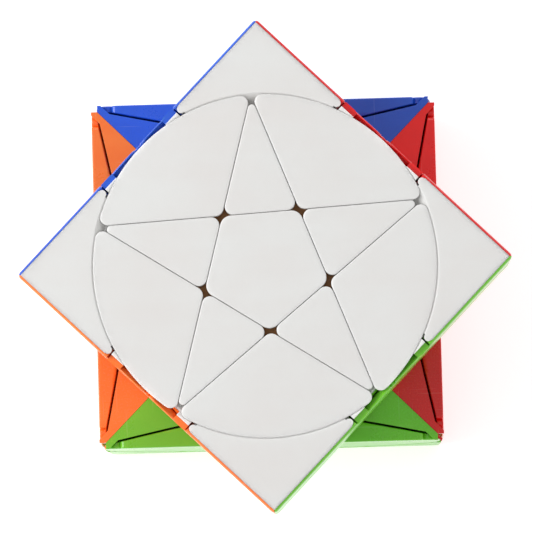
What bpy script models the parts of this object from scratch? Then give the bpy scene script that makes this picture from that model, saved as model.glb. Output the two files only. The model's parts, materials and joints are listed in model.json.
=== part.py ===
"""A cube-shaped twisty puzzle with a turning star disc in each face, its white layer turned part way.

The cube stands on its yellow face. Its white layer is turned against the rest, and the white disc is turned
in that layer. Every face holds a pentagon centre, five star points and five petals. A layer is cut along the
line on which a star's side lies, so a layer takes two petals and one star point of each disc beside it.
Under the discs lie eight corner pieces and twelve edge pieces, whose feet reach in under the centres.
Six centres turn on screws in one core, each pulled inwards by a spring. Lengths are in metres.
"""

import math

import bmesh
import bpy
from mathutils import Matrix, Vector

# Cube and discs
HALF_SIDE = 0.0300  # the cube's middle to each face
EDGE_RADIUS = 0.0007  # rounding of the cube's outer edges
RIM_MARGIN = 0.0006  # a disc's rim lies this far inside the cube's side
RIM_THICKNESS = 0.0011  # a disc at its rim
DISC_SLOPE = math.radians(12.7)  # a disc's underside falls towards its axis
SEAM = 0.0004  # gap between neighbouring tiles
LAYER_GAP = 0.0003  # gap between neighbouring corners and edges, and at the layer cut
DISC_GAP = 0.0004  # gap between a disc and the pieces under it
PENTAGON_FILLET = 0.0020
POINT_BASE_FILLET = 0.0014
POINT_TIP_FILLET = 0.0006
PETAL_FILLET = 0.0018

# The hooked feet of the tiles, which run in a ring track
TRACK_MARGIN = 0.0005  # the track's inner wall lies this far inside the corner pieces' inner edge
NECK_WIDTH = 0.0040  # the track's mouth
HOOK_REACH = 0.0020  # how far the hook goes under the lip
LIP_THICKNESS = 0.0019
HOOK_HEIGHT = 0.0020
LINK_INSET = 0.0003  # the ring that joins a group of tiles stays this far inside their hooks

# The mechanism inside
FOOT_CUT = 0.0055  # layer cut of the feet, inside the ball on which the pieces ride
BALL_RADIUS = 0.0203
NECK_INSET = 0.0001  # a neck stays this far inside the sides of its piece
NECK_OVERLAP = 0.0013  # a neck goes this far into the body that it holds
RIDGE_TRIM = 0.0062  # an edge's thin ridge is trimmed this far to both sides of its middle
COLUMN_GAP = 0.0003  # a centre's column to the layer cut
STEM_RADIUS = 0.0050
STEM_BOTTOM = 0.0095
SPRING_FLOOR = 0.0122
SPRING_ROOM_RADIUS = 0.0040
CAP_THICKNESS = 0.0034
CORE_RADIUS = 0.0076
POST_RADIUS = 0.0046
POST_GAP = 0.0003  # post to stem
SCREW_RADIUS = 0.0014
SCREW_CLEARANCE = 0.0003
SCREW_TIP = 0.0030
SCREW_HEAD_RADIUS = 0.0032
SCREW_HEAD_HEIGHT = 0.0020
SCREW_HEAD_ROOM = 0.0006  # screw head to the cap above it
WIRE_RADIUS = 0.00035
SPRING_RADIUS = 0.00245  # axis to the middle of the wire
SPRING_TURNS = 3
SPRING_POINTS_PER_TURN = 7
SPRING_GAP = 0.0003

# Pose: how far the layer and the discs are turned from their home places
LAYER_TURN = math.radians(45.6)
WHITE_DISC_TURN = math.radians(3.2)
YELLOW_DISC_TURN = math.radians(0.0)

# How finely round shapes are divided
TURNED_STEPS = 25
SMALL_STEPS = 16
SCREW_STEPS = 12
BALL_SEGMENTS = 24
CORE_SEGMENTS = 12
FILLET_STEPS = 2
PETAL_ARC_STEPS = 6

# Places that follow from the sizes above
DISC_RADIUS = HALF_SIDE - RIM_MARGIN
STAR_STEP = math.radians(72)
LAYER_CUT = DISC_RADIUS * math.cos(STAR_STEP)
SLOPE = math.tan(DISC_SLOPE)
CONE = DISC_RADIUS / HALF_SIDE
RIM_HEIGHT = HALF_SIDE - RIM_THICKNESS
UNDERSIDE_MIDDLE = RIM_HEIGHT - SLOPE * CONE * RIM_HEIGHT
TRACK_INNER = LAYER_CUT * math.sqrt(2) - TRACK_MARGIN
TRACK_OUTER = TRACK_INNER + NECK_WIDTH
HOOK_OUTER = TRACK_OUTER + HOOK_REACH
HOOK_ROOF = UNDERSIDE_MIDDLE - DISC_GAP + SLOPE * TRACK_OUTER - LIP_THICKNESS
HOOK_FLOOR = HOOK_ROOF - HOOK_HEIGHT
RIDGE = (RIM_HEIGHT - DISC_GAP) * (1 + CONE) / 2
FAR = 2 * HALF_SIDE

COLOURS = {
    "white": (0.86, 0.86, 0.84),
    "yellow": (0.93, 0.80, 0.05),
    "blue": (0.02, 0.10, 0.62),
    "green": (0.10, 0.70, 0.07),
    "red": (0.80, 0.03, 0.02),
    "orange": (1.00, 0.28, 0.03),
    "core": (0.12, 0.07, 0.03),
    "steel": (0.62, 0.62, 0.64),
}
SIDES = {"blue": 90, "orange": 180, "green": 270, "red": 0}  # the compass angle of each side


def clear_scene():
    for thing in list(bpy.data.objects):
        bpy.data.objects.remove(thing, do_unlink=True)


def new_collection(name):
    collection = bpy.data.collections.new(name)
    bpy.context.scene.collection.children.link(collection)
    return collection


clear_scene()
PARTS = new_collection("star_disc_cube_puzzle")
CUTTERS = new_collection("cutters")


# ---------------------------------------------------------------- helpers

def helper(name, mesh):
    """A hidden object that cuts, or from which a piece's mesh is taken."""
    thing = bpy.data.objects.new(name, mesh)
    thing.hide_render = True
    thing.display_type = "WIRE"
    CUTTERS.objects.link(thing)
    return thing


def from_bmesh(name, made):
    bmesh.ops.recalc_face_normals(made, faces=made.faces)
    mesh = bpy.data.meshes.new(name)
    made.to_mesh(mesh)
    made.free()
    return helper(name, mesh)


def box(name, low, high):
    """A box between two corners."""
    made = bmesh.new()
    low = Vector(low)
    high = Vector(high)
    size = high - low
    place = Matrix.Translation((low + high) / 2) @ Matrix.Diagonal((*size, 1))
    bmesh.ops.create_cube(made, size=1, matrix=place)
    return from_bmesh(name, made)


def ball(name, radius, segments):
    made = bmesh.new()
    bmesh.ops.create_uvsphere(made, u_segments=segments, v_segments=segments // 2, radius=radius)
    return from_bmesh(name, made)


def rod(name, radius, low, high, direction, steps):
    """A cylinder on an axis through the middle, from low to high along the direction."""
    made = bmesh.new()
    bmesh.ops.create_cone(
        made, cap_ends=True, segments=steps, radius1=radius, radius2=radius, depth=high - low,
        matrix=turned_to(direction) @ Matrix.Translation((0, 0, (low + high) / 2)),
    )
    return from_bmesh(name, made)


def turned_to(direction):
    return Vector(direction).to_track_quat("Z", "Y").to_matrix().to_4x4()


def turned(name, profile, steps, closed=False):
    """The profile's (radius, height) points, which run down its outer side, turned about Z."""
    mesh = bpy.data.meshes.new(name)
    points = [(radius, 0, height) for radius, height in profile]
    edges = [(i, i + 1) for i in range(len(points) - 1)]
    if closed:
        edges.append((len(points) - 1, 0))
    mesh.from_pydata(points, edges, [])
    thing = helper(name, mesh)
    screw = thing.modifiers.new("turn", "SCREW")
    screw.steps = steps
    screw.render_steps = steps
    screw.use_merge_vertices = True
    screw.merge_threshold = 0.00001
    screw.use_normal_calculate = True
    return helper(name + "_solid", baked_mesh(thing))


def prisms(name, outlines, low, high):
    """Each flat outline made a prism between two heights."""
    made = bmesh.new()
    for outline in outlines:
        flat = made.faces.new([made.verts.new((x, y, low)) for x, y in outline])
        raised = bmesh.ops.extrude_face_region(made, geom=[flat])["geom"]
        corners = [part for part in raised if isinstance(part, bmesh.types.BMVert)]
        bmesh.ops.translate(made, verts=corners, vec=(0, 0, high - low))
    return from_bmesh(name, made)


def combine(thing, operation, *others):
    for other in others:
        step = thing.modifiers.new(other.name, "BOOLEAN")
        step.operation = operation
        step.object = other
        step.solver = "EXACT"
    return thing


def baked_mesh(thing):
    """The object's mesh with its modifiers worked out."""
    graph = bpy.context.evaluated_depsgraph_get()
    mesh = bpy.data.meshes.new_from_object(thing.evaluated_get(graph))
    made = bmesh.new()
    made.from_mesh(mesh)
    bmesh.ops.remove_doubles(made, verts=made.verts, dist=0.000002)
    bmesh.ops.recalc_face_normals(made, faces=made.faces)
    made.to_mesh(mesh)
    made.free()
    return mesh


def plastic(name, colour):
    """A Principled material of the named colour, or bare steel."""
    material = bpy.data.materials.new(name)
    material.use_nodes = True
    shader = material.node_tree.nodes["Principled BSDF"]
    shader.inputs["Base Color"].default_value = (*COLOURS[colour], 1)
    shader.inputs["Roughness"].default_value = 0.3
    shader.inputs["Metallic"].default_value = 1.0 if colour == "steel" else 0.0
    return material


def place(name, mesh, parent, turn, colour):
    """A piece: a shared mesh, turned as given, that rides on a parent frame."""
    piece = bpy.data.objects.new(name, mesh)
    PARTS.objects.link(piece)
    piece.parent = parent
    piece.matrix_local = turn
    if not mesh.materials:
        mesh.materials.append(None)
    piece.material_slots[0].link = "OBJECT"
    piece.material_slots[0].material = plastic(name, colour)
    return piece


def frame(name, parent, matrix):
    """An empty on a turning axis, which carries the pieces that turn together."""
    empty = bpy.data.objects.new(name, None)
    PARTS.objects.link(empty)
    empty.parent = parent
    empty.matrix_local = matrix
    return empty


def about_z(angle):
    return Matrix.Rotation(angle, 4, "Z")


def facing_side(compass):
    """Turns a face's own frame, +Z outwards and +Y towards the white face, to a side of the cube."""
    return about_z(math.radians(compass + 90)) @ Matrix.Rotation(math.radians(90), 4, "X")


# ---------------------------------------------------------------- the star's outlines

def star_angle(k):
    """The compass angle of star point k in a face's frame. Point 0 is at +Y, towards the white face."""
    return math.radians(90) + k * STAR_STEP


def crossing(angle_a, reach_a, angle_b, reach_b):
    """The point at reach_a along one direction and reach_b along the other."""
    rows = Matrix(((math.cos(angle_a), math.sin(angle_a)), (math.cos(angle_b), math.sin(angle_b))))
    return rows.inverted() @ Vector((reach_a, reach_b))


def rounded(corners, radii):
    """A convex outline with each corner replaced by an arc of its own radius."""
    outline = []
    count = len(corners)
    for i, (corner, radius) in enumerate(zip(corners, radii)):
        if radius == 0:
            outline.append(corner)
            continue
        back = (corners[i - 1] - corner).normalized()
        ahead = (corners[(i + 1) % count] - corner).normalized()
        half = back.angle(ahead) / 2
        middle = corner + (back + ahead).normalized() * radius / math.sin(half)
        start = corner + back * radius / math.tan(half) - middle
        sweep = math.pi - 2 * half
        for step in range(FILLET_STEPS + 1):
            outline.append(middle + Matrix.Rotation(sweep * step / FILLET_STEPS, 2) @ start)
    return outline


def pentagon_outline():
    reach = LAYER_CUT - SEAM / 2
    corners = [crossing(star_angle(k), reach, star_angle(k + 1), reach) for k in range(5)]
    return rounded(corners, [PENTAGON_FILLET] * 5)


def point_outline(k):
    """Star point k: beyond its own line, and short of the lines of the points beside it."""
    base = LAYER_CUT + SEAM / 2
    side = LAYER_CUT - SEAM / 2
    before, own, after = star_angle(k - 1), star_angle(k), star_angle(k + 1)
    corners = [
        crossing(own, base, before, side),
        crossing(before, side, after, side),
        crossing(own, base, after, side),
    ]
    return rounded(corners, [POINT_BASE_FILLET, POINT_TIP_FILLET, POINT_BASE_FILLET])


def petal_outline(k):
    """The petal between points k and k + 1: beyond both their lines, out past the disc's rim."""
    reach = LAYER_CUT + SEAM / 2
    beyond = DISC_RADIUS + SEAM
    spread = math.acos(reach / beyond)
    first = star_angle(k + 1) - spread
    last = star_angle(k) + spread
    corners = [crossing(star_angle(k), reach, star_angle(k + 1), reach)]
    for step in range(PETAL_ARC_STEPS + 1):
        angle = first + (last - first) * step / PETAL_ARC_STEPS
        corners.append(Vector((math.cos(angle), math.sin(angle))) * beyond)
    return rounded(corners, [PETAL_FILLET] + [0] * (PETAL_ARC_STEPS + 1))


# ---------------------------------------------------------------- turned shapes of a disc

def underside(radius):
    return UNDERSIDE_MIDDLE + SLOPE * radius


def disc_with_hook():
    """A disc whose underside carries the hooked ring from which the tiles' feet are cut."""
    gap = LAYER_GAP
    return turned("disc_with_hook", [
        (0, HALF_SIDE), (DISC_RADIUS, HALF_SIDE), (CONE * RIM_HEIGHT, RIM_HEIGHT),
        (TRACK_OUTER - gap, underside(TRACK_OUTER - gap)), (TRACK_OUTER - gap, HOOK_ROOF - gap),
        (HOOK_OUTER - gap, HOOK_ROOF - gap), (HOOK_OUTER - gap, HOOK_FLOOR + gap),
        (TRACK_INNER + gap, HOOK_FLOOR + gap), (TRACK_INNER + gap, underside(TRACK_INNER + gap)),
        (0, UNDERSIDE_MIDDLE),
    ], TURNED_STEPS)


def plain_disc():
    return turned("plain_disc", [
        (0, HALF_SIDE), (DISC_RADIUS, HALF_SIDE), (CONE * RIM_HEIGHT, RIM_HEIGHT), (0, UNDERSIDE_MIDDLE),
    ], TURNED_STEPS)


def disc_room():
    """The room that a disc and its track take from the pieces under it."""
    low = RIM_HEIGHT - DISC_GAP
    above = HALF_SIDE + RIM_THICKNESS
    lowered = UNDERSIDE_MIDDLE - DISC_GAP
    return turned("disc_room", [
        (0, above), (CONE * above + LAYER_GAP, above), (CONE * low + LAYER_GAP, low),
        (TRACK_OUTER, lowered + SLOPE * TRACK_OUTER), (TRACK_OUTER, HOOK_ROOF), (HOOK_OUTER, HOOK_ROOF),
        (HOOK_OUTER, HOOK_FLOOR), (TRACK_INNER, HOOK_FLOOR), (TRACK_INNER, lowered + SLOPE * TRACK_INNER),
        (0, lowered),
    ], TURNED_STEPS)


def link_ring():
    """A ring inside the hooks, which joins a group of tiles."""
    inset = LAYER_GAP + LINK_INSET
    inner, outer = TRACK_INNER + inset, HOOK_OUTER - inset
    low, high = HOOK_FLOOR + inset, HOOK_ROOF - inset
    return turned("link_ring", [(outer, high), (outer, low), (inner, low), (inner, high)],
                  TURNED_STEPS, closed=True)


# ---------------------------------------------------------------- the pieces' shapes

def tile(name, disc, outlines):
    """Tiles cut from a disc by their outlines."""
    return combine(prisms(name, outlines, HOOK_FLOOR - SEAM, HALF_SIDE + SEAM), "INTERSECT", disc)


def tile_group(name, disc, points, petals, link):
    """Star points and petals of one disc, joined at their feet by the link."""
    outlines = [point_outline(k) for k in points] + [petal_outline(k) for k in petals]
    return combine(tile(name, disc, outlines), "UNION", link)


def link_between(name, low, high):
    """The part of the link ring between two heights on its face."""
    return combine(box(name, (-FAR, low, 0), (FAR, high, FAR)), "INTERSECT", link_ring())


def centre_piece():
    """A pentagon on a column and a stem, hollow for the spring and the screw head."""
    column = LAYER_CUT - COLUMN_GAP
    bottom = BALL_RADIUS + COLUMN_GAP
    top = HALF_SIDE - CAP_THICKNESS
    bore = SCREW_RADIUS + SCREW_CLEARANCE
    body = turned("centre_column", [
        (0, top + CAP_THICKNESS / 2), (column, top + CAP_THICKNESS / 2), (column, bottom),
        (STEM_RADIUS, bottom), (STEM_RADIUS, STEM_BOTTOM), (0, STEM_BOTTOM),
    ], SMALL_STEPS)
    room = turned("spring_room", [
        (0, top), (SPRING_ROOM_RADIUS, top), (SPRING_ROOM_RADIUS, SPRING_FLOOR), (bore, SPRING_FLOOR),
        (bore, STEM_BOTTOM - SEAM), (0, STEM_BOTTOM - SEAM),
    ], SMALL_STEPS)
    piece = tile("centre_master", plain_disc(), [pentagon_outline()])
    combine(piece, "UNION", body)
    return combine(piece, "DIFFERENCE", room)


def rounded_cube():
    cube = box("rounded_cube", [-HALF_SIDE] * 3, [HALF_SIDE] * 3)
    bevel = cube.modifiers.new("edges", "BEVEL")
    bevel.width = EDGE_RADIUS
    bevel.segments = 2
    return cube


def corner_piece(room_x, room_y, room_z):
    """The corner at +X +Y +Z: a block under three discs, a neck through the ball, and a cubic foot."""
    side = LAYER_CUT + LAYER_GAP / 2
    foot_low = FOOT_CUT + LAYER_GAP / 2
    foot_high = (BALL_RADIUS - LAYER_GAP) / math.sqrt(3)
    neck_high = BALL_RADIUS / math.sqrt(3) + NECK_OVERLAP
    piece = box("corner_master", [side] * 3, [FAR] * 3)
    combine(piece, "INTERSECT", rounded_cube())
    combine(piece, "DIFFERENCE", ball("corner_ball", BALL_RADIUS, BALL_SEGMENTS))
    combine(piece, "UNION", box("corner_neck", [side + NECK_INSET] * 3, [neck_high] * 3))
    combine(piece, "UNION", box("corner_foot", [foot_low] * 3, [foot_high] * 3))
    return combine(piece, "DIFFERENCE", room_x, room_y, room_z)


def edge_piece(room_y, room_z):
    """The edge at +Y +Z, its length along X. Its ridge is trimmed where the two discs' rims nearly meet."""
    half = LAYER_CUT - LAYER_GAP / 2
    side = LAYER_CUT + LAYER_GAP / 2
    foot_half = FOOT_CUT - LAYER_GAP / 2
    foot_low = FOOT_CUT + LAYER_GAP / 2
    foot_high = math.sqrt(((BALL_RADIUS - LAYER_GAP) ** 2 - foot_half**2) / 2)
    neck_half = foot_half - NECK_INSET
    neck_high = BALL_RADIUS / math.sqrt(2) + NECK_OVERLAP
    trim = box("edge_trim", (-RIDGE_TRIM, -FAR, math.sqrt(2) * RIDGE), (RIDGE_TRIM, FAR, 2 * FAR))
    trim.data.transform(Matrix.Rotation(math.radians(-45), 4, "X"))
    piece = box("edge_master", (-half, side, side), (half, HALF_SIDE, HALF_SIDE))
    combine(piece, "DIFFERENCE", trim, ball("edge_ball", BALL_RADIUS, BALL_SEGMENTS))
    combine(piece, "UNION", box("edge_neck", (-neck_half, side + NECK_INSET, side + NECK_INSET),
                                (neck_half, neck_high, neck_high)))
    combine(piece, "UNION", box("edge_foot", (-foot_half, foot_low, foot_low),
                                (foot_half, foot_high, foot_high)))
    return combine(piece, "DIFFERENCE", room_y, room_z)


def core_piece():
    """A ball with six posts, each bored for its screw."""
    post_end = STEM_BOTTOM - POST_GAP
    bore = SCREW_RADIUS + SCREW_CLEARANCE
    piece = ball("core_master", CORE_RADIUS, CORE_SEGMENTS)
    for name, axis in (("x", (1, 0, 0)), ("y", (0, 1, 0)), ("z", (0, 0, 1))):
        combine(piece, "UNION", rod(f"posts_{name}", POST_RADIUS, -post_end, post_end, axis, SMALL_STEPS))
    for axis in FACE_AXES:
        number = FACE_AXES.index(axis)
        cutter = rod(f"bore_{number}", bore, SCREW_TIP - SCREW_CLEARANCE, FAR, axis, SCREW_STEPS)
        combine(piece, "DIFFERENCE", cutter)
    return piece


def screw_head_height():
    return HALF_SIDE - CAP_THICKNESS - SCREW_HEAD_ROOM - SCREW_HEAD_HEIGHT


def screw_piece():
    head = screw_head_height()
    return turned("screw_master", [
        (0, head + SCREW_HEAD_HEIGHT), (SCREW_HEAD_RADIUS, head + SCREW_HEAD_HEIGHT),
        (SCREW_HEAD_RADIUS, head), (SCREW_RADIUS, head), (SCREW_RADIUS, SCREW_TIP), (0, SCREW_TIP),
    ], SCREW_STEPS)


def spring_piece():
    """A helix between the centre's floor and the screw head."""
    low = SPRING_FLOOR + SPRING_GAP + WIRE_RADIUS
    high = screw_head_height() - SPRING_GAP - WIRE_RADIUS
    count = SPRING_TURNS * SPRING_POINTS_PER_TURN
    curve = bpy.data.curves.new("spring_master", "CURVE")
    curve.dimensions = "3D"
    curve.bevel_depth = WIRE_RADIUS
    curve.bevel_resolution = 2
    curve.use_fill_caps = True
    line = curve.splines.new("POLY")
    line.points.add(count)
    for i, point in enumerate(line.points):
        angle = 2 * math.pi * i / SPRING_POINTS_PER_TURN
        height = low + (high - low) * i / count
        point.co = (SPRING_RADIUS * math.cos(angle), SPRING_RADIUS * math.sin(angle), height, 1)
    return helper("spring_master", curve)


# ---------------------------------------------------------------- the assembly

FACE_AXES = ((1, 0, 0), (-1, 0, 0), (0, 1, 0), (0, -1, 0), (0, 0, 1), (0, 0, -1))


def rooms():
    """The disc room on +X, +Y and +Z."""
    room_z = disc_room()
    made = []
    for name, direction in (("room_x", (1, 0, 0)), ("room_y", (0, 1, 0))):
        mesh = room_z.data.copy()
        mesh.transform(turned_to(direction))
        made.append(helper(name, mesh))
    return made[0], made[1], room_z


def mirrored_down(turn):
    """The same turn, then the piece turned over to the yellow side about the X axis."""
    return Matrix.Rotation(math.pi, 4, "X") @ turn


def add_white_disc(middle, centre, point, petal):
    disc = frame("white_disc_frame", middle, about_z(WHITE_DISC_TURN))
    place("white_centre", centre, disc, Matrix(), "white")
    for k in range(5):
        place(f"white_star_point_{k + 1}", point, disc, about_z(k * STAR_STEP), "white")
        place(f"white_petal_{k + 1}", petal, disc, about_z(k * STAR_STEP), "white")


def add_yellow_disc(middle, centre, ring):
    disc = frame("yellow_disc_frame", middle, mirrored_down(about_z(YELLOW_DISC_TURN)))
    place("yellow_centre", centre, disc, Matrix(), "yellow")
    place("yellow_star_and_petals", ring, disc, Matrix(), "yellow")


def add_sides(middle, layer, centre, near_group, far_group):
    """Each side's centre and lower tiles stay with the body, and its upper tiles ride on the layer."""
    for colour, compass in SIDES.items():
        turn = facing_side(compass)
        place(f"{colour}_centre", centre, middle, turn, colour)
        place(f"{colour}_lower_star_and_petals", far_group, middle, turn, colour)
        place(f"{colour}_upper_star_and_petals", near_group, layer, turn, colour)


def add_corners_and_edges(middle, layer, corner, edge):
    """Corners and edges are named for the sides they stand between, going round from red."""
    ring = ["red", "blue", "orange", "green"]
    for i, colour in enumerate(ring):
        after = ring[(i + 1) % 4]
        quarter = about_z(math.radians(90 * i))
        upright = Matrix.Rotation(math.radians(-90), 4, "Y") @ Matrix.Rotation(math.radians(-90), 4, "X")
        top_edge = about_z(math.radians(90 * i - 90))
        place(f"corner_white_{colour}_{after}", corner, layer, quarter, "white")
        place(f"corner_yellow_{colour}_{after}", corner, middle,
              about_z(math.radians(90 * i + 90)) @ Matrix.Rotation(math.pi, 4, "X"), "yellow")
        place(f"edge_white_{colour}", edge, layer, top_edge, colour)
        place(f"edge_yellow_{colour}", edge, middle, top_edge @ Matrix.Rotation(math.radians(-90), 4, "X"),
              colour)
        place(f"edge_{colour}_{after}", edge, middle, quarter @ upright, colour)


def add_axles(middle, screw, spring):
    names = {"red": (1, 0, 0), "orange": (-1, 0, 0), "blue": (0, 1, 0), "green": (0, -1, 0),
             "white": (0, 0, 1), "yellow": (0, 0, -1)}
    for colour, axis in names.items():
        place(f"screw_{colour}", screw, middle, turned_to(axis), "steel")
        place(f"spring_{colour}", spring, middle, turned_to(axis), "steel")


def build():
    hooked = disc_with_hook()
    room_x, room_y, room_z = rooms()
    cut = LAYER_CUT + NECK_OVERLAP
    near_link = link_between("near_link", cut, FAR)
    far_link = link_between("far_link", -FAR, LAYER_CUT / 2)
    whole_link = link_ring()

    centre = baked_mesh(centre_piece())
    point = baked_mesh(tile("point_master", hooked, [point_outline(0)]))
    petal = baked_mesh(tile("petal_master", hooked, [petal_outline(0)]))
    near_group = baked_mesh(tile_group("near_master", hooked, [0], [4, 0], near_link))
    far_group = baked_mesh(tile_group("far_master", hooked, [1, 2, 3, 4], [1, 2, 3], far_link))
    ring = baked_mesh(tile_group("ring_master", hooked, range(5), range(5), whole_link))
    corner = baked_mesh(corner_piece(room_x, room_y, room_z))
    edge = baked_mesh(edge_piece(room_y, room_z))
    core = baked_mesh(core_piece())
    screw = baked_mesh(screw_piece())
    spring = baked_mesh(spring_piece())

    middle = frame("puzzle_middle", None, Matrix.Translation((0, 0, HALF_SIDE)))
    layer = frame("white_layer_frame", middle, about_z(LAYER_TURN))
    place("core", core, middle, Matrix(), "core")
    add_axles(middle, screw, spring)
    add_white_disc(middle, centre, point, petal)
    add_yellow_disc(middle, centre, ring)
    add_sides(middle, layer, centre, near_group, far_group)
    add_corners_and_edges(middle, layer, corner, edge)


build()
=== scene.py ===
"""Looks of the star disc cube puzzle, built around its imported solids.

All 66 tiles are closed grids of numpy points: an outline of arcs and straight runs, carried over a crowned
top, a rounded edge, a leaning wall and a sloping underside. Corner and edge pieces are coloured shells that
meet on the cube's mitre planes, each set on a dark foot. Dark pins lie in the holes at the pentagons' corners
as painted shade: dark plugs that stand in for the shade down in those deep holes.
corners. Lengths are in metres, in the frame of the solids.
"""

import json
import math

import bmesh
import bpy
import numpy as np
from mathutils import Matrix, Vector

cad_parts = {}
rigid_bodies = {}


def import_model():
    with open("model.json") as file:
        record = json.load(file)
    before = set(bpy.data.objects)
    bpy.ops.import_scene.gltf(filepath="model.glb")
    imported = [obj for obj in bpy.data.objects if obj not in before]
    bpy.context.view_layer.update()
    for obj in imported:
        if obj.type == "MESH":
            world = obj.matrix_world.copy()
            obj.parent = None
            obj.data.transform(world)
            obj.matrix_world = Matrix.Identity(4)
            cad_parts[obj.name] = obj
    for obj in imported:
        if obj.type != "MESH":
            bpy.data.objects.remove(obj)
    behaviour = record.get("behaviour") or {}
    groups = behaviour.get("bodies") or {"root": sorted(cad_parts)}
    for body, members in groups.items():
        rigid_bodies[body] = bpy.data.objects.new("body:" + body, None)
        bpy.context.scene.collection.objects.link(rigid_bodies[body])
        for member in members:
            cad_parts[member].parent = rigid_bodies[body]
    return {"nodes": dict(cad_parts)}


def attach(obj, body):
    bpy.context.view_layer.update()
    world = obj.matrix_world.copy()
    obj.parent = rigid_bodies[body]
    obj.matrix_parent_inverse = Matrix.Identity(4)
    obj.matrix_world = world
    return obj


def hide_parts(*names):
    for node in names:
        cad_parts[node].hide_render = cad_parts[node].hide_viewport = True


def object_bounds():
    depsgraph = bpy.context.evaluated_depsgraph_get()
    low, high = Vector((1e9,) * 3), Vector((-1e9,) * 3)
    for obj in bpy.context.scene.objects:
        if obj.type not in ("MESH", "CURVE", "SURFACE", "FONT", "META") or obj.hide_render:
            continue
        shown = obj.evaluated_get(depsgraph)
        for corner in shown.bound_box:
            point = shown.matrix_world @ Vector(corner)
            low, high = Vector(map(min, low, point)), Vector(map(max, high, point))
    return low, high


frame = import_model()
CAD_LOW, CAD_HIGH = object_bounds()

# Cube and discs
HALF_SIDE = (CAD_HIGH.z - CAD_LOW.z) / 2
EDGE_RADIUS = 0.0008  # rounding of the cube's outer edges
RIM_MARGIN = 0.0006  # a disc's rim lies this far inside the cube's side
RIM_THICKNESS = 0.0011
RIM_STEP = 0.0003  # the rim's wall is upright for this depth, then slopes inwards
DISC_SLOPE = math.radians(12.7)  # a disc's underside falls towards its axis
SEAM = 0.00008  # between neighbouring tiles, below their rounded edges
LAYER_GAP = 0.0003
DISC_GAP = 0.0004
PENTAGON_CORNER = 0.0020
POINT_BASE_CORNER = 0.0014
POINT_TIP_CORNER = 0.0007
PETAL_INNER_CORNER = 0.0015
PETAL_RIM_CORNER = 0.0013
TIP_ROUND = 0.0007  # rounding of a corner piece's six tips
TILE_EDGE = 0.00022  # rounded top edge of a tile
UNDER_EDGE = 0.00012
CROWN = 0.00004  # a tile's top rises this much to its middle

# Feet, track and mechanism
TRACK_MARGIN = 0.0005
NECK_WIDTH = 0.0040
HOOK_REACH = 0.0020
LIP_THICKNESS = 0.0019
HOOK_HEIGHT = 0.0020
FOOT_CUT = 0.0055
BALL_RADIUS = 0.0203
NECK_OVERLAP = 0.0013
NECK_INSET = 0.0001
COLUMN_GAP = 0.0003
STEM_RADIUS = 0.0050
STEM_BOTTOM = 0.0095
SPRING_FLOOR = 0.0122
SPRING_ROOM_RADIUS = 0.0040
CAP_THICKNESS = 0.0034
BORE_RADIUS = 0.0017

# Coloured shells, and the dark pins in the holes, which are painted shade
FOOT_BALL = 0.0282  # inside this ball a corner or edge is its dark foot, outside it the coloured shells
SHELL_SEAM = 0.00003  # half the joint between a piece's own shells
CAP_SETBACK = 0.00035  # a corner's white or yellow shell stops this much short of the mitre
EDGE_NOTCH = 0.0011  # each of an edge's two shells stops this far short of the other's side
SHELL_BEVEL = 0.00014
RIDGE_TRIM = 0.0062  # an edge's thin ridge is trimmed this far to both sides of its middle
SHADE_PLUG_DEPTH = 0.0021  # the end of a dark plug of painted shade lies this far below the face
SHADE_PLUG_SMALLER = 0.03  # share by which a painted-shade plug is smaller than its hole

# Plastic and floor
GLOW_REACH = 0.0012  # how far light spreads inside the plastic
SKIN_BUMP = 0.000012
GRAIN_BUMP = 0.00003
STEEL_BUMP = 0.00001
FLOOR_HALF = 3.0
FLOOR_DROP = 0.0002  # the floor lies this far under the cube

# Pose of the layer and the discs
LAYER_TURN = math.radians(45.6)
WHITE_DISC_TURN = math.radians(3.2)

# How finely the shapes are divided
ARC_STEP = 0.0005
RUN_STEP = 0.0010
TURNED_STEPS = 192
BALL_SEGMENTS = 64
FOOT_STEPS = 12
TINY = 0.000001

# Places that follow
STAR_STEP = math.radians(72)
DISC_RADIUS = HALF_SIDE - RIM_MARGIN
LAYER_CUT = DISC_RADIUS * math.cos(STAR_STEP)
SLOPE = math.tan(DISC_SLOPE)
CONE = DISC_RADIUS / HALF_SIDE
RIM_HEIGHT = HALF_SIDE - RIM_THICKNESS
UNDERSIDE_MIDDLE = RIM_HEIGHT - SLOPE * CONE * RIM_HEIGHT
TRACK_INNER = LAYER_CUT * math.sqrt(2) - TRACK_MARGIN
TRACK_OUTER = TRACK_INNER + NECK_WIDTH
HOOK_OUTER = TRACK_OUTER + HOOK_REACH
HOOK_ROOF = UNDERSIDE_MIDDLE - DISC_GAP + SLOPE * TRACK_OUTER - LIP_THICKNESS
HOOK_FLOOR = HOOK_ROOF - HOOK_HEIGHT
RIDGE = (RIM_HEIGHT - DISC_GAP) * (1 + CONE) / 2
FAR = 2 * HALF_SIDE

SIDES = {"red": 0, "blue": 90, "orange": 180, "green": 270}  # compass angle of each side


# ---------------------------------------------------------------- shader maths

class Socket:
    """A node's output. Operators on it add Math nodes, and shade() any other node."""

    def __init__(self, tree, output):
        self.tree = tree
        self.output = output

    def math(self, operation, other=None, swap=False):
        values = [self, other] if other is not None else [self]
        if swap:
            values.reverse()
        return shade(self.tree, "ShaderNodeMath", {"operation": operation}, dict(enumerate(values)))

    def __add__(self, other):
        return self.math("ADD", other)

    def __sub__(self, other):
        return self.math("SUBTRACT", other)

    def __mul__(self, other):
        return self.math("MULTIPLY", other)

    def __rsub__(self, other):
        return self.math("SUBTRACT", other, swap=True)

    __radd__ = __add__
    __rmul__ = __mul__

    def ramp(self, low, high):
        """0 below low, 1 above high, smooth between them."""
        node = {"interpolation_type": "SMOOTHSTEP"}
        return shade(self.tree, "ShaderNodeMapRange", node, {0: self, 1: low, 2: high})


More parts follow.
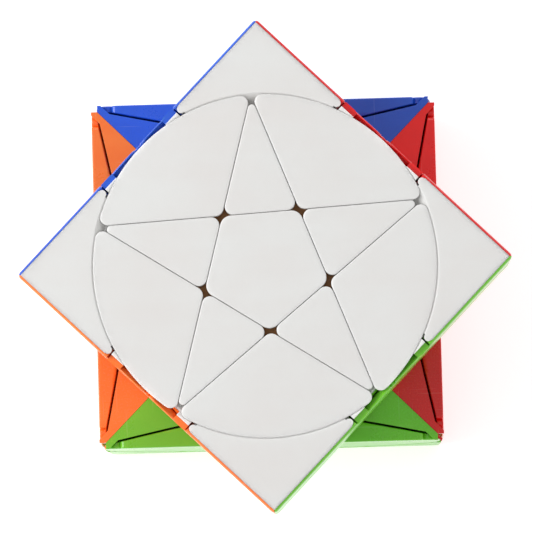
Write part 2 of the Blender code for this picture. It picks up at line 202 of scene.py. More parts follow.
def shade(tree, kind, settings=None, values=None, output=0):
    """Adds a node of a type, with its settings first and then its sockets' values or links."""
    node = tree.nodes.new(kind)
    for name, value in (settings or {}).items():
        setattr(node, name, value)
    for key, value in (values or {}).items():
        if isinstance(value, Socket):
            tree.links.new(value.output, node.inputs[key])
        else:
            node.inputs[key].default_value = value
    return Socket(tree, node.outputs[output])


def noise(tree, where, scale, detail=2.0, rough=0.5):
    return shade(tree, "ShaderNodeTexNoise", None,
                 {"Vector": where, "Scale": scale, "Detail": detail, "Roughness": rough})


def stretched(tree, where, scale, turn=(0, 0, 0)):
    return shade(tree, "ShaderNodeMapping", None, {"Vector": where, "Rotation": turn, "Scale": scale})


def mixed(tree, factor, first, second):
    """Mixes two colours by a factor."""
    return shade(tree, "ShaderNodeMix", {"data_type": "RGBA"}, {0: factor, 6: first, 7: second}, 2)


def blank(name, roughness, metallic=0.0):
    material = bpy.data.materials.new(name)
    material.use_nodes = True
    tree = material.node_tree
    shader = tree.nodes["Principled BSDF"]
    shader.inputs["Roughness"].default_value = roughness
    shader.inputs["Metallic"].default_value = metallic
    where = shade(tree, "ShaderNodeTexCoord", output="Object")
    return material, tree, shader, where


def link(tree, socket, shader, name):
    tree.links.new(socket.output, shader.inputs[name])


def bumped(tree, shader, height, distance):
    bump = shade(tree, "ShaderNodeBump", None, {"Strength": 1.0, "Distance": distance, "Height": height})
    link(tree, bump, shader, "Normal")


def moulded(name, colour, deep, roughness, clear=0.25, fleck=1.0, glow=0.12):
    """Satin moulded plastic: cloudy pigment, faint flow lines, an orange-peel skin, hairline scratches that
    catch the light, and patches where handling has polished or dulled it."""
    material, tree, shader, where = blank(name, roughness)
    cloud = noise(tree, where, 70, 3)
    flow = noise(tree, stretched(tree, where, (40, 260, 40), (0.3, 0.2, 0.6)), 1.0, 3)
    grain = noise(tree, where, 2600, 1)
    peel = noise(tree, where, 900, 2)
    across = noise(tree, stretched(tree, where, (2200, 60, 60), (0.4, 0.2, 0.9)), 1.0, 1)
    along = noise(tree, stretched(tree, where, (70, 2600, 70), (0.1, 0.5, 0.35)), 1.0, 1)
    scratch = (across.ramp(0.70, 0.78) + along.ramp(0.71, 0.79)) * 0.5
    handled = noise(tree, where, 38, 2).ramp(0.42, 0.66)
    pigment = cloud * 0.6 + flow * 0.3 + grain * 0.1
    tone = mixed(tree, pigment.ramp(0.30, 0.70), (*colour, 1), deep)
    link(tree, mixed(tree, scratch * (0.10 * fleck), tone, (1, 1, 1, 1)), shader, "Base Color")
    link(tree, roughness - 0.05 + handled * 0.09 + grain * 0.04 + scratch * 0.10, shader, "Roughness")
    shader.inputs["Coat Weight"].default_value = clear
    shader.inputs["Coat Roughness"].default_value = 0.16
    shader.inputs["IOR"].default_value = 1.49
    shader.inputs["Subsurface Weight"].default_value = glow
    shader.inputs["Subsurface Radius"].default_value = (1.0, 1.0, 1.0)
    shader.inputs["Subsurface Scale"].default_value = GLOW_REACH
    bumped(tree, shader, peel * 0.55 + grain * 0.15 - scratch * 0.30, SKIN_BUMP)
    return material


def white_plastic():
    """Warm white, with the faintest pink and green clouds."""
    return moulded("white_plastic", (0.730, 0.732, 0.720), (0.715, 0.700, 0.685, 1), 0.34, 0.20, 0.2, 0.85)


def coloured_plastics():
    base = {
        "yellow": ((0.93, 0.66, 0.015), (0.86, 0.56, 0.010, 1)),
        "blue": ((0.018, 0.110, 0.640), (0.012, 0.078, 0.520, 1)),
        "red": ((0.800, 0.008, 0.008), (0.690, 0.006, 0.006, 1)),
        "orange": ((1.000, 0.215, 0.030), (0.960, 0.170, 0.020, 1)),
        "green": ((0.180, 0.590, 0.028), (0.140, 0.500, 0.020, 1)),
    }
    return {name: moulded(f"{name}_plastic", *pair, 0.30) for name, pair in base.items()}


def foot_plastic():
    """Matt brown plastic of the core and the feet, with a coarse spark-eroded grain and worn streaks."""
    material, tree, shader, where = blank("core_plastic", 0.55)
    grain = noise(tree, where, 1500, 3)
    streak = noise(tree, stretched(tree, where, (60, 900, 60), (0.7, 0.1, 0.2)), 1.0, 2).ramp(0.52, 0.72)
    cloud = noise(tree, where, 90, 3).ramp(0.35, 0.7)
    # On the pins in the holes, this brown is painted shade.
    tone = mixed(tree, cloud, (0.300, 0.125, 0.030, 1), (0.215, 0.085, 0.020, 1))
    link(tree, mixed(tree, streak * 0.35, tone, (0.36, 0.18, 0.07, 1)), shader, "Base Color")
    link(tree, 0.46 + grain * 0.20 - streak * 0.12, shader, "Roughness")
    bumped(tree, shader, grain, GRAIN_BUMP)
    return material


def steel(name, colour, turned_lines):
    """Bare steel with drawn or turned lines, a little tarnish and dull spots."""
    material, tree, shader, where = blank(name, 0.3, 1.0)
    lines = noise(tree, stretched(tree, where, turned_lines), 1.0, 3)
    tarnish = noise(tree, where, 320, 3).ramp(0.48, 0.72)
    tone = mixed(tree, tarnish * 0.45, colour, (0.34, 0.31, 0.28, 1))
    link(tree, mixed(tree, lines * 0.25, tone, (0.86, 0.86, 0.88, 1)), shader, "Base Color")
    link(tree, 0.22 + lines * 0.16 + tarnish * 0.18, shader, "Roughness")
    bumped(tree, shader, lines, STEEL_BUMP)
    return material


# ---------------------------------------------------------------- outlines

def star_angle(k):
    """Compass angle of star point k in a face's frame. Point 0 is at +Y."""
    return math.radians(90) + k * STAR_STEP


def direction(angle):
    return np.array([math.cos(angle), math.sin(angle)])


def crossing(angle_a, reach_a, angle_b, reach_b):
    """The point at reach_a along one direction and reach_b along the other."""
    return np.linalg.solve(np.array([direction(angle_a), direction(angle_b)]), [reach_a, reach_b])


def arc(centre, radius, first, last):
    """Points centre + radius (cos a, sin a), and their outward normals (cos a, sin a)."""
    count = max(7, math.ceil(abs(radius * (last - first)) / ARC_STEP) + 1)
    angle = np.linspace(first, last, count)
    normals = np.stack([np.cos(angle), np.sin(angle)], 1)
    return centre + radius * normals, normals


def outline(*arcs):
    """A closed curve, anticlockwise, of arcs joined by straight runs: its points and outward normals."""
    points, normals = [], []
    for (along, facing), (ahead, _) in zip(arcs, arcs[1:] + arcs[:1]):
        gap = ahead[0] - along[-1]
        length = math.hypot(*gap)
        if length < TINY:
            along, facing = along[:-1], facing[:-1]
        count = max(1, math.ceil(length / RUN_STEP))
        share = np.arange(1, count)[:, None] / count
        points += [along, along[-1] + gap * share]
        normals += [facing, np.repeat(facing[-1:], count - 1, 0)]
    return np.concatenate(points), np.concatenate(normals)


def pentagon():
    reach = LAYER_CUT - SEAM / 2 - PENTAGON_CORNER
    bounds = [(star_angle(k), star_angle(k + 1)) for k in range(5)]
    return outline(*[arc(crossing(a, reach, b, reach), PENTAGON_CORNER, a, b) for a, b in bounds])


def star_point():
    """Star point 0, beyond its own line and short of the lines of the points beside it."""
    own, before, after = star_angle(0), star_angle(-1), star_angle(1)
    behind = own + math.pi
    tip = LAYER_CUT - SEAM / 2 - POINT_TIP_CORNER
    side = LAYER_CUT - SEAM / 2 - POINT_BASE_CORNER
    base = -LAYER_CUT - SEAM / 2 - POINT_BASE_CORNER
    return outline(
        arc(crossing(before, tip, after, tip), POINT_TIP_CORNER, before, after),
        arc(crossing(after, side, behind, base), POINT_BASE_CORNER, after, behind),
        arc(crossing(behind, base, before, side), POINT_BASE_CORNER, behind, before + 2 * math.pi),
    )


def petal():
    """The petal between points 0 and 1: beyond both their lines, out to the disc's rim."""
    first, second = star_angle(0), star_angle(1)
    line = LAYER_CUT + SEAM / 2
    reach = DISC_RADIUS - PETAL_RIM_CORNER
    spread = math.acos((line + PETAL_RIM_CORNER) / reach)
    inner = -line - PETAL_INNER_CORNER
    return outline(
        arc(np.zeros(2), DISC_RADIUS, second - spread, first + spread),
        arc(reach * direction(first + spread), PETAL_RIM_CORNER, first + spread, first + math.pi),
        arc(crossing(first + math.pi, inner, second + math.pi, inner), PETAL_INNER_CORNER,
            first + math.pi, second + math.pi),
        arc(reach * direction(second - spread), PETAL_RIM_CORNER, second - math.pi, second - spread),
    )


def hole():
    """The gap left at a corner of the pentagon by its own, two star points' and a petal's rounded corners."""
    first, second = star_angle(0), star_angle(1)
    inside = LAYER_CUT - SEAM / 2
    outside = -LAYER_CUT - SEAM / 2
    reach = inside - PENTAGON_CORNER
    side, base = inside - POINT_BASE_CORNER, outside - POINT_BASE_CORNER
    inner = outside - PETAL_INNER_CORNER
    back_first, back_second = first + math.pi, second + math.pi
    return outline(
        arc(crossing(first, reach, second, reach), PENTAGON_CORNER, second, first),
        arc(crossing(second, side, back_first, base), POINT_BASE_CORNER, back_first, second),
        arc(crossing(back_first, inner, back_second, inner), PETAL_INNER_CORNER, back_second, back_first),
        arc(crossing(back_second, base, first, side), POINT_BASE_CORNER, first + 2 * math.pi, back_second),
    )


# ---------------------------------------------------------------- surfaces

def underside(radius):
    return UNDERSIDE_MIDDLE + SLOPE * radius


def capped(rings, first, last):
    """Rings one below another, each anticlockwise, closed by a pole above and a pole below."""
    levels, count = rings.shape[:2]
    vertices = np.concatenate([rings.reshape(-1, 3), [first], [last]])
    ring = np.arange(levels * count).reshape(levels, count)
    ahead = np.roll(ring, -1, 1)
    quads = np.stack([ring[:-1], ring[1:], ahead[1:], ahead[:-1]], -1).reshape(-1, 4)
    above = np.full(count, levels * count)
    top = np.stack([ring[0], ahead[0], above], -1)
    bottom = np.stack([ahead[-1], ring[-1], above + 1], -1)
    return vertices, [*quads.tolist(), *top.tolist(), *bottom.tolist()]


def tile_rings(points, normals):
    """Each ring is the outline moved in by an inset and shrunk to a share of itself about its middle.
    Its height is H - CROWN share^2 on the top, H - CROWN - EDGE (1 - cos a) round the edge, then a share
    of the way down to the underside cone. No ring passes the rim's wall."""
    share = np.array([0.30, 0.60, 0.82, 0.94, 1.0])
    turn = np.radians([18, 36, 54, 72, 90])
    down = np.array([0.12, 0.45, 0.80, 0.94, 1.0, 1.0])
    ones = np.ones(len(turn))
    shares = np.concatenate([share, ones, np.array([1, 1, 1, 1, 1, 0.6])])
    insets = np.concatenate([
        np.full(len(share), TILE_EDGE), TILE_EDGE * (1 - np.sin(turn)),
        np.array([0, 0, 0, 0, UNDER_EDGE, UNDER_EDGE]),
    ])
    rim_top = HALF_SIDE - CROWN
    heights = np.concatenate([
        HALF_SIDE - CROWN * share**2, rim_top - TILE_EDGE * (1 - np.cos(turn)),
        np.full(len(down), rim_top - TILE_EDGE),
    ])[:, None]
    downs = np.concatenate([np.zeros(len(share) + len(turn)), down])[:, None]
    middle = points.mean(0)
    flat = middle + (points - insets[:, None, None] * normals - middle) * shares[:, None, None]
    radius = np.hypot(flat[..., 0], flat[..., 1])
    low = underside(np.minimum(radius, CONE * RIM_HEIGHT))
    height = heights * (1 - downs) + low * downs
    wall = np.interp(height, [RIM_HEIGHT, HALF_SIDE - RIM_STEP], [CONE * RIM_HEIGHT, DISC_RADIUS])
    flat = flat * np.minimum(1, wall / radius)[..., None]
    return np.concatenate([flat, height[..., None]], -1), middle


def plain_tile(points, normals):
    rings, middle = tile_rings(points, normals)
    return capped(rings, (*middle, HALF_SIDE), (*middle, underside(math.hypot(*middle))))


def shade_plug_surface():
    """A dark plug of painted shade that fills a hole from the tiles' underside up to the set depth below the
    face.
    """
    points, _ = hole()
    middle = points.mean(0)
    flat = middle + (points - middle) * (1 - SHADE_PLUG_SMALLER)
    high, low = HALF_SIDE - SHADE_PLUG_DEPTH, underside(math.hypot(*middle))
    rings = np.stack([np.column_stack([flat, np.full(len(flat), height)]) for height in (high, low)])
    return capped(rings, (*middle, high), (*middle, low))


def centre_surface():
    """The pentagon tile whose underside runs on as circles: column, stem, bore and spring room."""
    points, normals = pentagon()
    rings, _ = tile_rings(points, normals)
    column = LAYER_CUT - COLUMN_GAP
    bottom = BALL_RADIUS + COLUMN_GAP
    room_top = HALF_SIDE - CAP_THICKNESS
    profile = np.array([
        (column, underside(column)), (column, bottom + UNDER_EDGE), (column - UNDER_EDGE, bottom),
        (STEM_RADIUS, bottom), (STEM_RADIUS, STEM_BOTTOM), (BORE_RADIUS, STEM_BOTTOM),
        (BORE_RADIUS, SPRING_FLOOR), (SPRING_ROOM_RADIUS, SPRING_FLOOR), (SPRING_ROOM_RADIUS, room_top),
    ])
    around = points / np.hypot(points[:, 0], points[:, 1])[:, None]
    circles = np.concatenate([
        profile[:, :1, None] * around, np.broadcast_to(profile[:, 1:, None], (len(profile), len(around), 1)),
    ], -1)
    return capped(np.concatenate([rings[:-1], circles]), (0, 0, HALF_SIDE), (0, 0, room_top))


def foot_surface(middle_angle, half_angle):
    """A hooked foot: an L of radius and height, carried round from -1 to 1 times the tile's half angle,
    which is worked out at each radius."""
    gap = LAYER_GAP
    inner, neck, hook = TRACK_INNER + gap, TRACK_OUTER - gap, HOOK_OUTER - gap
    low, roof = HOOK_FLOOR + gap, HOOK_ROOF - gap
    into_tile = 2 * gap
    profile = np.array([
        (inner, low), (hook, low), (hook, roof), (neck, roof),
        (neck, underside(neck) + into_tile), (inner, underside(inner) + into_tile),
    ])
    share = np.linspace(-1, 1, FOOT_STEPS + 1)[:, None]
    angle = middle_angle + share * (half_angle(profile[:, 0]) - SEAM / profile[:, 0])
    radius = np.broadcast_to(profile[:, 0], angle.shape)
    height = np.broadcast_to(profile[:, 1], angle.shape)
    vertices = np.stack([radius * np.cos(angle), radius * np.sin(angle), height], -1).reshape(-1, 3)
    ring = np.arange(len(vertices)).reshape(angle.shape)
    ahead = np.roll(ring, -1, 1)
    quads = np.stack([ring[:-1], ring[1:], ahead[1:], ahead[:-1]], -1).reshape(-1, 4)
    ends = [ring[0, [0, 1, 2, 3]], ring[0, [0, 3, 4, 5]], ring[-1, [3, 2, 1, 0]], ring[-1, [5, 4, 3, 0]]]
    return vertices, [*quads.tolist(), *[end.tolist() for end in ends]]


def with_foot(tile, foot):
    """One piece of the two closed surfaces."""
    count = len(tile[0])
    faces = tile[1] + [[i + count for i in face] for face in foot[1]]
    return np.concatenate([tile[0], foot[0]]), faces


def star_point_surface():
    def half(radius):
        return STAR_STEP - np.arccos(LAYER_CUT / radius)
    return with_foot(plain_tile(*star_point()), foot_surface(star_angle(0), half))


def petal_surface():
    def half(radius):
        return np.arccos(LAYER_CUT / radius) - STAR_STEP / 2
    return with_foot(plain_tile(*petal()), foot_surface(star_angle(0.5), half))


def smooth_mesh(name, surface):
    mesh = bpy.data.meshes.new(name)
    mesh.from_pydata(surface[0].tolist(), [], surface[1])
    mesh.shade_smooth()
    mesh.set_sharp_from_angle(angle=math.radians(35))
    return mesh


# ---------------------------------------------------------------- corner and edge pieces

WORKBENCH = bpy.data.collections.new("workbench")
bpy.context.scene.collection.children.link(WORKBENCH)


def tool(name, made):
    """A helper object that is removed once the pieces are made."""
    bmesh.ops.recalc_face_normals(made, faces=made.faces)
    mesh = bpy.data.meshes.new(name)
    made.to_mesh(mesh)
    made.free()
    thing = bpy.data.objects.new(name, mesh)
    WORKBENCH.objects.link(thing)
    return thing


def box(name, low, high):
    made = bmesh.new()
    low, high = Vector(low), Vector(high)
    place = Matrix.Translation((low + high) / 2) @ Matrix.Diagonal((*(high - low), 1))
    bmesh.ops.create_cube(made, size=1, matrix=place)
    return tool(name, made)


def ball(name, radius):
    made = bmesh.new()
    bmesh.ops.create_uvsphere(made, u_segments=BALL_SEGMENTS, v_segments=BALL_SEGMENTS // 2, radius=radius)
    return tool(name, made)


def prism(name, flat, low, high):
    """A flat outline carried from one height to another."""
    made = bmesh.new()
    face = made.faces.new([made.verts.new((x, y, low)) for x, y in flat])
    raised = bmesh.ops.extrude_face_region(made, geom=[face])["geom"]
    corners = [part for part in raised if isinstance(part, bmesh.types.BMVert)]
    bmesh.ops.translate(made, verts=corners, vec=(0, 0, high - low))
    return tool(name, made)


def turned_solid(name, profile):
    """The profile's (radius, height) points turned about Z, closed at a pole above and below."""
    angle = np.linspace(0, 2 * math.pi, TURNED_STEPS, endpoint=False)
    around = np.stack([np.cos(angle), np.sin(angle)], 1)
    shape = np.array(profile[1:-1])
    heights = np.broadcast_to(shape[:, 1:, None], (len(shape), TURNED_STEPS, 1))
    rings = np.concatenate([shape[:, :1, None] * around, heights], -1)
    vertices, faces = capped(rings, (0, 0, profile[0][1]), (0, 0, profile[-1][1]))
    mesh = bpy.data.meshes.new(name)
    mesh.from_pydata(vertices.tolist(), [], faces)
    thing = bpy.data.objects.new(name, mesh)
    WORKBENCH.objects.link(thing)
    return thing


def disc_room(name, axis):
    """The room that a disc and its track take from the pieces under it, on one axis."""
    low = RIM_HEIGHT - DISC_GAP
    above = HALF_SIDE + RIM_THICKNESS
    lowered = UNDERSIDE_MIDDLE - DISC_GAP
    room = turned_solid(name, [
        (0, above), (CONE * above + LAYER_GAP, above), (CONE * low + LAYER_GAP, low),
        (TRACK_OUTER, lowered + SLOPE * TRACK_OUTER), (TRACK_OUTER, HOOK_ROOF), (HOOK_OUTER, HOOK_ROOF),
        (HOOK_OUTER, HOOK_FLOOR), (TRACK_INNER, HOOK_FLOOR), (TRACK_INNER, lowered + SLOPE * TRACK_INNER),
        (0, lowered),
    ])
    room.data.transform(Vector(axis).to_track_quat("Z", "Y").to_matrix().to_4x4())
    return room


def combine(thing, operation, *others):
    for other in others:
        step = thing.modifiers.new(other.name, "BOOLEAN")
        step.operation = operation
        step.object = other
        step.solver = "EXACT"
    return thing


def baked(thing):
    """The object's mesh with its modifiers worked out and its doubles merged."""
    graph = bpy.context.evaluated_depsgraph_get()
    mesh = bpy.data.meshes.new_from_object(thing.evaluated_get(graph))
    made = bmesh.new()
    made.from_mesh(mesh)
    bmesh.ops.remove_doubles(made, verts=made.verts, dist=TINY)
    bmesh.ops.dissolve_degenerate(made, edges=made.edges, dist=TINY)
    made.to_mesh(mesh)
    made.free()
    return mesh


def copy_of(mesh, name):
    thing = bpy.data.objects.new(name, mesh.copy())
    WORKBENCH.objects.link(thing)
    return thing


def rounded_cube():
    cube = box("rounded_cube", [-HALF_SIDE] * 3, [HALF_SIDE] * 3)
    bevel = cube.modifiers.new("edges", "BEVEL")
    bevel.width = EDGE_RADIUS
    bevel.segments = 6
    return cube


def tip_cutter(name, swap, outer):
    """Rounds one tip of a corner piece: what lies between the sharp tip and a circle inside it."""
    side = LAYER_CUT + LAYER_GAP / 2
    wall = DISC_RADIUS + LAYER_GAP
    x = side + TIP_ROUND
    y = math.sqrt((wall + TIP_ROUND) ** 2 - x**2)
    turn = np.radians(np.linspace(180, 90, 9) if outer else np.linspace(180, 270, 9))
    curve = [(x + TIP_ROUND * math.cos(a), y + TIP_ROUND * math.sin(a)) for a in turn]
    beyond = y + 4 * TIP_ROUND if outer else y - 2 * TIP_ROUND
    flat = [(side - TIP_ROUND, y), *curve, (x, beyond), (side - TIP_ROUND, beyond)]
    cutter = prism(name, flat, RIM_HEIGHT - DISC_GAP - TINY, HALF_SIDE + RIM_THICKNESS)
    cutter.data.transform(swap)
    if swap.determinant() < 0:
        cutter.data.flip_normals()
    return cutter


def axis_swaps():
    """The six orders of X, Y and Z, as matrices."""
    orders = [(0, 1, 2), (1, 2, 0), (2, 0, 1), (1, 0, 2), (0, 2, 1), (2, 1, 0)]
    unit = [Vector((1, 0, 0)), Vector((0, 1, 0)), Vector((0, 0, 1))]
    return [Matrix([unit[i] for i in order]).to_4x4() for order in orders]


def corner_block(room_x, room_y, room_z):
    """The corner at +X +Y +Z with its neck and foot."""
    side = LAYER_CUT + LAYER_GAP / 2
    foot_low = FOOT_CUT + LAYER_GAP / 2
    foot_high = (BALL_RADIUS - LAYER_GAP) / math.sqrt(3)
    neck_high = BALL_RADIUS / math.sqrt(3) + NECK_OVERLAP
    piece = box("corner_block", [side] * 3, [FAR] * 3)
    combine(piece, "INTERSECT", rounded_cube())
    combine(piece, "DIFFERENCE", ball("corner_ball", BALL_RADIUS))
    combine(piece, "UNION", box("corner_neck", [side + NECK_INSET] * 3, [neck_high] * 3))
    combine(piece, "UNION", box("corner_foot", [foot_low] * 3, [foot_high] * 3))
    combine(piece, "DIFFERENCE", room_x, room_y, room_z)
    for i, swap in enumerate(axis_swaps()):
        combine(piece, "DIFFERENCE", tip_cutter(f"inner_tip_{i}", swap, False))
    return baked(piece)


def edge_block(room_y, room_z):
    """The edge at +Y +Z, its length along X. Its ridge is trimmed where it would be too thin."""
    half = LAYER_CUT - LAYER_GAP / 2
    side = LAYER_CUT + LAYER_GAP / 2
    foot_half = FOOT_CUT - LAYER_GAP / 2
    foot_low = FOOT_CUT + LAYER_GAP / 2
    foot_high = math.sqrt(((BALL_RADIUS - LAYER_GAP) ** 2 - foot_half**2) / 2)
    neck_half = foot_half - NECK_INSET
    neck_high = BALL_RADIUS / math.sqrt(2) + NECK_OVERLAP
    trim = box("edge_trim", (-RIDGE_TRIM, -FAR, math.sqrt(2) * RIDGE), (RIDGE_TRIM, FAR, 2 * FAR))
    trim.data.transform(Matrix.Rotation(math.radians(-45), 4, "X"))
    notch = box("edge_notch", (-FAR, HALF_SIDE - EDGE_NOTCH, HALF_SIDE - EDGE_NOTCH), (FAR, FAR, FAR))
    piece = box("edge_block", (-half, side, side), (half, FAR, FAR))
    combine(piece, "INTERSECT", rounded_cube())
    combine(piece, "DIFFERENCE", trim, notch, ball("edge_ball", BALL_RADIUS))
    combine(piece, "UNION", box("edge_neck", (-neck_half, side + NECK_INSET, side + NECK_INSET),
                                (neck_half, neck_high, neck_high)))
    combine(piece, "UNION", box("edge_foot", (-foot_half, foot_low, foot_low),
                                (foot_half, foot_high, foot_high)))
    return baked(combine(piece, "DIFFERENCE", room_y, room_z))


def mitre(name, axis, setbacks):
    """The wedge in which one axis is the longest: a pyramid from the cube's middle, cut back from each of
    the other two axes by its own setback."""
    others = [i for i in range(3) if i != axis]
    made = bmesh.new()
    for a in (-1, 1):
        for b in (-1, 1):
            for height in (0.2 * HALF_SIDE, 1.2 * HALF_SIDE):
                at = [0, 0, 0]
                at[axis] = height
                at[others[0]] = a * (height - setbacks[0])
                at[others[1]] = b * (height - setbacks[1])
                made.verts.new(at)
    bmesh.ops.convex_hull(made, input=list(made.verts))
    return tool(name, made)


def finished(thing):
    """Every sharp edge rounded a little, and its flat faces kept flat in shading."""
    thing.data.shade_smooth()
    bevel = thing.modifiers.new("soft_edges", "BEVEL")
    bevel.width = SHELL_BEVEL
    bevel.segments = 2
    bevel.limit_method = "ANGLE"
    bevel.angle_limit = math.radians(32)
    bevel.use_clamp_overlap = True
    weighted = thing.modifiers.new("flat_faces", "WEIGHTED_NORMAL")
    weighted.keep_sharp = True
    graph = bpy.context.evaluated_depsgraph_get()
    return bpy.data.meshes.new_from_object(thing.evaluated_get(graph))


def shell(name, block, axis, setbacks, cutters=()):
    """The coloured shell of a block on one axis, outside the foot's ball."""
    piece = copy_of(block, name)
    combine(piece, "INTERSECT", mitre(f"{name}_mitre", axis, setbacks))
    combine(piece, "DIFFERENCE", *cutters)
    combine(piece, "DIFFERENCE", ball(f"{name}_hollow", FOOT_BALL + SHELL_SEAM))
    return finished(copy_of(baked(piece), f"{name}_soft"))


def dark_foot(name, block):
    piece = combine(copy_of(block, name), "INTERSECT", ball(f"{name}_ball", FOOT_BALL))
    mesh = baked(piece)
    mesh.shade_smooth()
    mesh.set_sharp_from_angle(angle=math.radians(30))
    return mesh


# ---------------------------------------------------------------- placing the pieces

MIDDLE = Matrix.Translation((0, 0, CAD_LOW.z + HALF_SIDE))
MATERIALS = {"white": white_plastic(), **coloured_plastics(), "core": foot_plastic()}


def about_z(angle):
    return Matrix.Rotation(angle, 4, "Z")


def facing_side(compass):
    """Turns a face's own frame, +Z outwards and +Y towards the white face, to a side of the cube."""
    return about_z(math.radians(compass + 90)) @ Matrix.Rotation(math.radians(90), 4, "X")


def add(name, mesh, turn, colour, body, replaces=()):
    """A piece: its own copy of a mesh, in place, that rides on a body."""
    own = mesh.copy()
    own.name = name
    own.transform(MIDDLE @ turn)
    own.materials.clear()
    own.materials.append(MATERIALS[colour])
    piece = bpy.data.objects.new(name, own)
    bpy.context.scene.collection.objects.link(piece)
    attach(piece, body)
    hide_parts(*replaces)
    return piece


def add_disc(colour, turn, centre, point, flower, body_of, node_of):
    """A face's eleven tiles. body_of and node_of say what each rides on and which solid it stands for."""
    add(f"{colour}_pentagon", centre, turn, colour, body_of("centre", 0), [f"{colour}_centre"])
    for k in range(5):
        spin = turn @ about_z(k * STAR_STEP)
        for kind, mesh in (("point", point), ("petal", flower)):
            add(f"{colour}_{kind}_{k + 1}_tile", mesh, spin, colour, body_of(kind, k), [node_of(kind, k)])


def add_shade_plugs():
    """Dark plugs of painted shade, in every hole whose four tiles ride on one body: they stand in for the
    shade down in the holes.
    """
    shade_plug = smooth_mesh("shade_plug", shade_plug_surface())
    shade_plug.set_sharp_from_angle(angle=math.radians(30))
    discs = [("white", about_z(WHITE_DISC_TURN), "white_disc", range(5)),
             ("yellow", Matrix.Rotation(math.pi, 4, "X"), "yellow_disc", range(5))]
    discs += [(colour, facing_side(compass), "cube_body", (1, 2, 3)) for colour, compass in SIDES.items()]
    for colour, turn, body, holes in discs:
        for k in holes:
            add(f"{colour}_pin_{k + 1}", shade_plug, turn @ about_z(k * STAR_STEP), "core", body)


def add_tiles():
    centre = smooth_mesh("pentagon", centre_surface())
    point = smooth_mesh("point", star_point_surface())
    flower = smooth_mesh("petal", petal_surface())
    names = {"point": "star_point", "petal": "petal"}
    add_disc("white", about_z(WHITE_DISC_TURN), centre, point, flower,
             lambda kind, k: "white_disc", lambda kind, k: f"white_{names[kind]}_{k + 1}")
    add_disc("yellow", Matrix.Rotation(math.pi, 4, "X"), centre, point, flower,
             lambda kind, k: "yellow_disc", lambda kind, k: "yellow_star_and_petals")
    upper = {("point", 0), ("petal", 4), ("petal", 0)}
    for colour, compass in SIDES.items():
        home = facing_side(compass)
        add(f"{colour}_pentagon", centre, home, colour, "cube_body", [f"{colour}_centre"])
        for k in range(5):
            for kind, mesh in (("point", point), ("petal", flower)):
                above = (kind, k) in upper
                turn = (about_z(LAYER_TURN) if above else Matrix()) @ home @ about_z(k * STAR_STEP)
                group = "upper" if above else "lower"
                add(f"{colour}_{kind}_{k + 1}_tile", mesh, turn, colour,
                    "white_layer" if above else "cube_body", [f"{colour}_{group}_star_and_petals"])


def add_corners(block):
    """Each corner: a cap shell on +Z and two side shells, on a dark foot."""
    swaps = axis_swaps()
    outer = [tip_cutter("outer_tip_x", swaps[0], True), tip_cutter("outer_tip_y", swaps[3], True)]
    back, seam = CAP_SETBACK + SHELL_SEAM, SHELL_SEAM
    cap = shell("corner_cap", block, 2, (back, back), outer)
    on_x = shell("corner_x", block, 0, (seam, seam - CAP_SETBACK))
    on_y = shell("corner_y", block, 1, (seam, seam - CAP_SETBACK))
    foot = dark_foot("corner_foot", block)
    ring = list(SIDES)
    for i, colour in enumerate(ring):
        after = ring[(i + 1) % 4]
        top = about_z(LAYER_TURN + math.radians(90 * i))
        low = about_z(math.radians(90 * i + 90)) @ Matrix.Rotation(math.pi, 4, "X")
        places = (("white", top, "white_layer", on_x, on_y), ("yellow", low, "cube_body", on_y, on_x))
        for cap_colour, turn, body, first, second in places:
            name = f"corner_{cap_colour}_{colour}_{after}"
            add(f"{name}_foot", foot, turn, "core", body, [name])
            add(f"{name}_{cap_colour}_shell", cap, turn, cap_colour, body)
            add(f"{name}_{colour}_shell", first, turn, colour, body)
            add(f"{name}_{after}_shell", second, turn, after, body)


def add_edges(block):
    """Each edge: two shells that meet on the mitre, on a dark foot. The block's +Z shell has the colour of
    the white or yellow face, or of the next side round for an upright edge."""
    on_z = shell("edge_z", block, 2, (-HALF_SIDE, SHELL_SEAM))
    on_y = shell("edge_y", block, 1, (-HALF_SIDE, SHELL_SEAM))
    foot = dark_foot("edge_foot", block)
    upright = Matrix.Rotation(math.radians(-90), 4, "Y") @ Matrix.Rotation(math.radians(-90), 4, "X")
    over = Matrix.Rotation(math.radians(180), 4, "Y")
    ring = list(SIDES)
    for i, colour in enumerate(ring):
        after = ring[(i + 1) % 4]
        side = about_z(math.radians(90 * i - 90))
        places = (
            (f"edge_white_{colour}", about_z(LAYER_TURN) @ side, "white_layer",
             (("white", on_z), (colour, on_y))),
            (f"edge_yellow_{colour}", side @ over, "cube_body", (("yellow", on_z), (colour, on_y))),
            (f"edge_{colour}_{after}", about_z(math.radians(90 * i)) @ upright, "cube_body",
             ((colour, on_y), (after, on_z))),
        )
        for name, turn, body, shells in places:
            add(f"{name}_foot", foot, turn, "core", body, [name])
            for shell_colour, mesh in shells:
                add(f"{name}_{shell_colour}_shell", mesh, turn, shell_colour, body)


def finish_metal_and_core():
    screw = steel("screw_steel", (0.62, 0.62, 0.64, 1), (300, 300, 5000))
    spring = steel("spring_steel", (0.50, 0.50, 0.53, 1), (900, 900, 900))
    for name, node in frame["nodes"].items():
        if name.startswith("screw_"):
            node.material_slots[0].material = screw
        elif name.startswith("spring_"):
            node.material_slots[0].material = spring
    frame["nodes"]["core"].material_slots[0].material = MATERIALS["core"]


def clear_workbench():
    for thing in list(WORKBENCH.objects):
        bpy.data.objects.remove(thing, do_unlink=True)
    bpy.data.collections.remove(WORKBENCH)


# ---------------------------------------------------------------- floor, light and camera

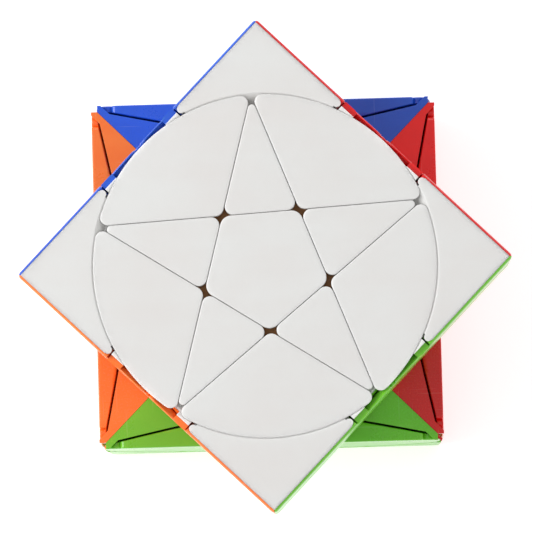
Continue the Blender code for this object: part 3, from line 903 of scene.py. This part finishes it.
def add_floor():
    """A plain floor that glows a little, so that the cube's colours don't tint it."""
    mesh = bpy.data.meshes.new("floor")
    corners = [(-FLOOR_HALF, -FLOOR_HALF), (FLOOR_HALF, -FLOOR_HALF), (FLOOR_HALF, FLOOR_HALF),
               (-FLOOR_HALF, FLOOR_HALF)]
    mesh.from_pydata([(x, y, CAD_LOW.z - FLOOR_DROP) for x, y in corners], [], [(0, 1, 2, 3)])
    material, tree, shader, where = blank("floor_white", 0.6)
    tone = mixed(tree, noise(tree, where, 12, 2).ramp(0.3, 0.7), (0.93, 0.93, 0.93, 1), (0.90, 0.90, 0.90, 1))
    link(tree, tone, shader, "Base Color")
    shader.inputs["Emission Color"].default_value = (1, 1, 1, 1)
    shader.inputs["Emission Strength"].default_value = 0.45
    mesh.materials.append(material)
    floor = bpy.data.objects.new("floor", mesh)
    bpy.context.scene.collection.objects.link(floor)


def add_light(name, at, size, watts):
    """A square soft light aimed at the cube's middle."""
    light = bpy.data.lights.new(name, "AREA")
    light.size = size
    light.energy = watts
    thing = bpy.data.objects.new(name, light)
    thing.location = at
    thing.rotation_mode = "QUATERNION"
    thing.rotation_quaternion = (Vector(at) - Vector((0, 0, HALF_SIDE))).to_track_quat("Z", "Y")
    bpy.context.scene.collection.objects.link(thing)


def add_lights():
    world = bpy.data.worlds.new("studio")
    world.use_nodes = True
    world.node_tree.nodes["Background"].inputs["Color"].default_value = (1, 1, 1, 1)
    world.node_tree.nodes["Background"].inputs["Strength"].default_value = 0.56
    bpy.context.scene.world = world
    add_light("left_soft_box", (-0.60, 0.05, 0.50), 0.5, 4.4)
    add_light("right_soft_box", (0.60, -0.30, 0.55), 0.4, 1.0)
    add_light("far_soft_box", (0.10, 0.65, 0.50), 0.4, 1.1)


def add_camera():
    """Far off above the white face, a little towards green and red, and rolled."""
    toward_green = math.radians(3.3)
    toward_red = math.radians(0.9)
    roll = math.radians(-1.6)
    distance = 0.95
    width_at_face = 0.0909
    face = Vector((0.00026, -0.00017, CAD_HIGH.z))
    back = Vector((math.tan(toward_red), -math.tan(toward_green), 1)).normalized()
    up = Vector((-math.sin(roll), math.cos(roll), 0))
    right = up.cross(back).normalized()
    camera = bpy.data.cameras.new("camera")
    camera.sensor_width = 36
    camera.lens = camera.sensor_width * distance / width_at_face
    camera.clip_start = 0.01
    thing = bpy.data.objects.new("camera", camera)
    thing.rotation_mode = "QUATERNION"
    thing.rotation_quaternion = Matrix((right, back.cross(right), back)).transposed().to_quaternion()
    thing.location = face + back * distance
    bpy.context.scene.collection.objects.link(thing)
    bpy.context.scene.camera = thing


add_camera()
add_lights()
add_floor()
add_tiles()
# dark plugs in the holes between tiles, as painted shade
add_shade_plugs()
room_x = disc_room("room_x", (1, 0, 0))
room_y = disc_room("room_y", (0, 1, 0))
room_z = disc_room("room_z", (0, 0, 1))
add_corners(corner_block(room_x, room_y, room_z))
add_edges(edge_block(room_y, room_z))
finish_metal_and_core()
clear_workbench()
bpy.context.scene.view_settings.view_transform = "Standard"
